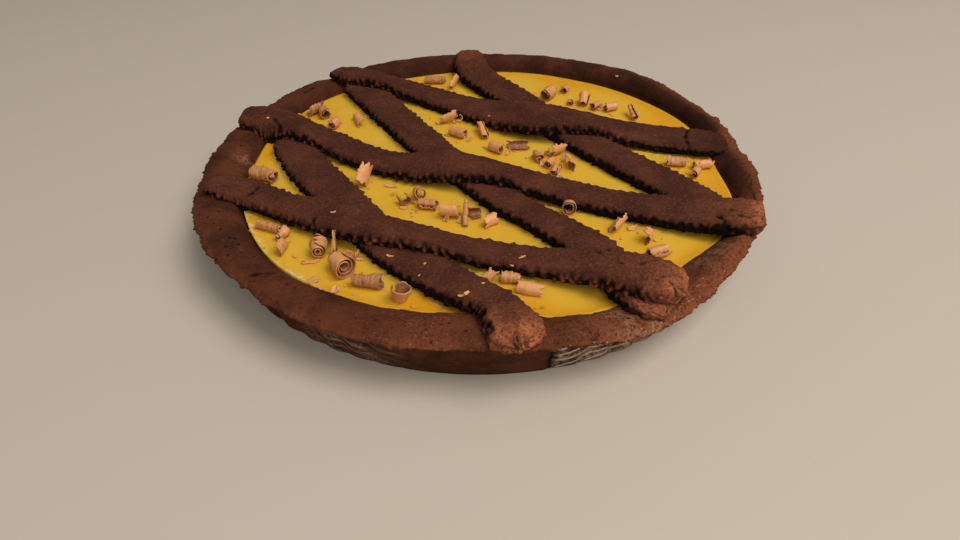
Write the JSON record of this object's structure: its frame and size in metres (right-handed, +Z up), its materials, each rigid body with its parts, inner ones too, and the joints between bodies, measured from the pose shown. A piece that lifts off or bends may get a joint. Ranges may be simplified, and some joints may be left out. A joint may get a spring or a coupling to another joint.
{
  "type": "chocolate crostata",
  "caption": "Round cocoa shortcrust tart with a fluted side wall and an uneven pressed rim, filled with custard, crossed by thick pinked pastry strips and strewn with milk chocolate curls.",
  "frame": {"origin": "centre of the flat base that the tart rests on", "axes": "+Z up, -Y towards the side that the picture looks from, +X to that side's right"},
  "size_m": [0.2572, 0.2619, 0.0343],
  "materials": {
    "cocoa_crust": "dry matte cocoa shortcrust, crumbly at the rim",
    "cocoa_strip": "dry matte cocoa shortcrust, pinked at its edges",
    "custard": "set baked custard with a soft sheen",
    "milk_chocolate": "satin milk chocolate shavings, ridged by the scraper"
  },
  "bodies": {
    "root": {"crust": "cocoa_crust", "custard": "custard", "lower_strip_right": "cocoa_strip", "lower_strip_middle": "cocoa_strip", "lower_strip_left": "cocoa_strip", "upper_strip_back": "cocoa_strip", "upper_strip_middle": "cocoa_strip", "upper_strip_front": "cocoa_strip", "curl_01": "milk_chocolate", "curl_02": "milk_chocolate", "curl_03": "milk_chocolate", "curl_04": "milk_chocolate", "curl_05": "milk_chocolate", "curl_06": "milk_chocolate", "curl_07": "milk_chocolate", "curl_08": "milk_chocolate", "curl_09": "milk_chocolate", "curl_10": "milk_chocolate", "curl_11": "milk_chocolate", "curl_12": "milk_chocolate", "curl_13": "milk_chocolate", "curl_14": "milk_chocolate", "curl_15": "milk_chocolate", "curl_16": "milk_chocolate", "curl_17": "milk_chocolate", "curl_18": "milk_chocolate", "curl_19": "milk_chocolate", "curl_20": "milk_chocolate", "curl_21": "milk_chocolate", "curl_22": "milk_chocolate", "curl_23": "milk_chocolate", "curl_24": "milk_chocolate", "curl_25": "milk_chocolate", "curl_26": "milk_chocolate", "curl_27": "milk_chocolate", "curl_28": "milk_chocolate", "curl_29": "milk_chocolate", "curl_30": "milk_chocolate", "curl_31": "milk_chocolate", "curl_32": "milk_chocolate", "curl_33": "milk_chocolate", "curl_34": "milk_chocolate", "curl_35": "milk_chocolate", "curl_36": "milk_chocolate", "curl_37": "milk_chocolate", "curl_38": "milk_chocolate", "curl_39": "milk_chocolate", "curl_40": "milk_chocolate", "curl_41": "milk_chocolate", "curl_42": "milk_chocolate", "curl_43": "milk_chocolate", "curl_44": "milk_chocolate", "curl_45": "milk_chocolate", "curl_46": "milk_chocolate", "curl_47": "milk_chocolate", "curl_48": "milk_chocolate", "curl_49": "milk_chocolate", "curl_50": "milk_chocolate"}
  },
  "joints": []
}
